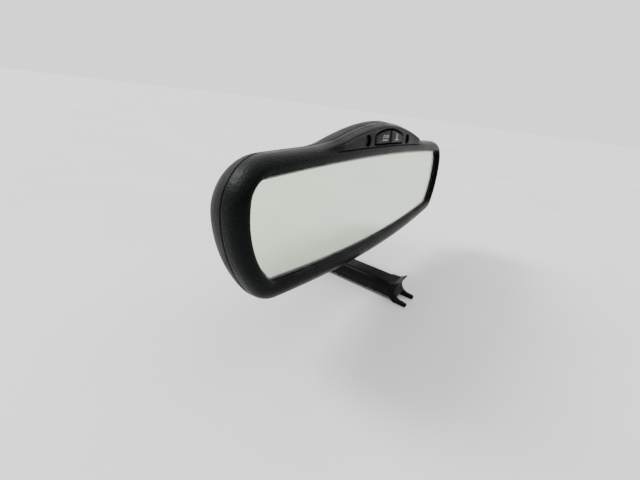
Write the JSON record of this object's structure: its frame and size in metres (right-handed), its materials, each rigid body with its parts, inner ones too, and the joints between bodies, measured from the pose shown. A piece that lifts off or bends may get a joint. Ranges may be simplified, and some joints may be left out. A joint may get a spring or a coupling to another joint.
{
  "type": "interior rearview mirror",
  "caption": "Self-dimming cabin mirror head on a double-ball stem, with a slide-on windshield shoe, push buttons and a forked wiring cover.",
  "frame": {"origin": "centre of the windshield shoe's face, in the symmetry plane, on the plane that lies on the windshield", "axes": "+X along the mirror's length, to the right seen from the glass side; +Z away from the windshield; -Y along the windshield towards the roof lining, the way the glass faces"},
  "size_m": [0.2556, 0.1412, 0.1179],
  "materials": {
    "bezel": "charcoal black, fine moulded grain",
    "housing": "charcoal black, fine moulded grain",
    "front_glass": "clear, polished",
    "reflector": "silvered, faint green tint",
    "seal": "grey-black sealant bead",
    "spring_steel": "plated spring steel",
    "foam": "closed-cell foam tape",
    "carrier": "plain black",
    "board": "solder-mask green",
    "chips": "black epoxy",
    "switch": "black",
    "button": "charcoal black, fine grain",
    "plunger": "natural nylon",
    "dark_lens": "smoked, polished",
    "photocell": "clear epoxy over a dark cell",
    "led": "tinted epoxy",
    "socket": "black connector nylon",
    "pins": "tin over brass",
    "screw": "zinc-plated",
    "pivot_steel": "zinc-plated pressing",
    "ball": "turned and zinc-plated",
    "nylon": "natural nylon",
    "stem": "satin black powder coat",
    "shoe": "satin black on zinc casting",
    "cover": "satin black"
  },
  "bodies": {
    "mount": {"mount_shoe": "shoe", "base_ball_stud": "ball", "set_screw": "screw", "wiring_cover": "cover", "cover_screw": "screw"},
    "base_ring": {"base_seat_ring": "nylon"},
    "base_cup": {"base_seat_cup": "nylon"},
    "stem": {"stem_tube": "stem", "stem_spring": "spring_steel"},
    "head_cup": {"head_seat_cup": "nylon"},
    "head_ring": {"head_seat_ring": "nylon"},
    "head": {"front_bezel": "bezel", "rear_housing": "housing", "front_glass": "front_glass", "reflector_glass": "reflector", "cell_seal": "seal", "bus_clip_top": "spring_steel", "bus_clip_bottom": "spring_steel", "foam_pad": "foam", "carrier_plate": "carrier", "circuit_board": "board", "board_components": "chips", "switch_bodies": "switch", "glare_sensor_lens": "dark_lens", "glare_photocell": "photocell", "indicator_lens": "dark_lens", "indicator_led": "led", "ambient_lens": "dark_lens", "ambient_photocell": "photocell", "harness_socket": "socket", "socket_pins": "pins", "board_screws": "screw", "pivot_plate": "pivot_steel", "pivot_screws": "screw", "head_ball_stud": "ball"},
    "left_key": {"left_button": "button", "left_plunger": "plunger"},
    "right_key": {"right_button": "button", "right_plunger": "plunger"}
  },
  "joints": [
    {"name": "base_tilt", "type": "hinge", "parent": "mount", "child": "base_ring", "pos_m": [0, -0.004, 0.026], "axis": [1, 0, 0], "range_deg": [-20, 5]},
    {"name": "base_swing", "type": "hinge", "parent": "base_ring", "child": "base_cup", "pos_m": [0, -0.004, 0.026], "axis": [0, 0, 1], "range_deg": [-20, 20]},
    {"name": "base_twist", "type": "hinge", "parent": "base_cup", "child": "stem", "pos_m": [0, -0.004, 0.026], "axis": [0, -0.788, 0.6157], "range_deg": [-12, 12]},
    {"name": "head_turn", "type": "hinge", "parent": "stem", "child": "head_cup", "pos_m": [0, -0.04498, 0.05801], "axis": [0, 0, 1], "range_deg": [-18, 18]},
    {"name": "head_tilt", "type": "hinge", "parent": "head_cup", "child": "head_ring", "pos_m": [0, -0.04498, 0.05801], "axis": [1, 0, 0], "range_deg": [-15, 12]},
    {"name": "head_roll", "type": "hinge", "parent": "head_ring", "child": "head", "pos_m": [0, -0.04498, 0.05801], "axis": [0, 0.9954, -0.0958], "range_deg": [-12, 12]},
    {"name": "left_button_press", "type": "slide", "parent": "head", "child": "left_key", "axis": [0, 0.9954, -0.0958], "range_m": [0, 0.0008], "stiffness_N_per_m": 900, "springref_m": -0.0003},
    {"name": "right_button_press", "type": "slide", "parent": "head", "child": "right_key", "axis": [0, 0.9954, -0.0958], "range_m": [0, 0.0008], "stiffness_N_per_m": 900, "springref_m": -0.0003}
  ]
}
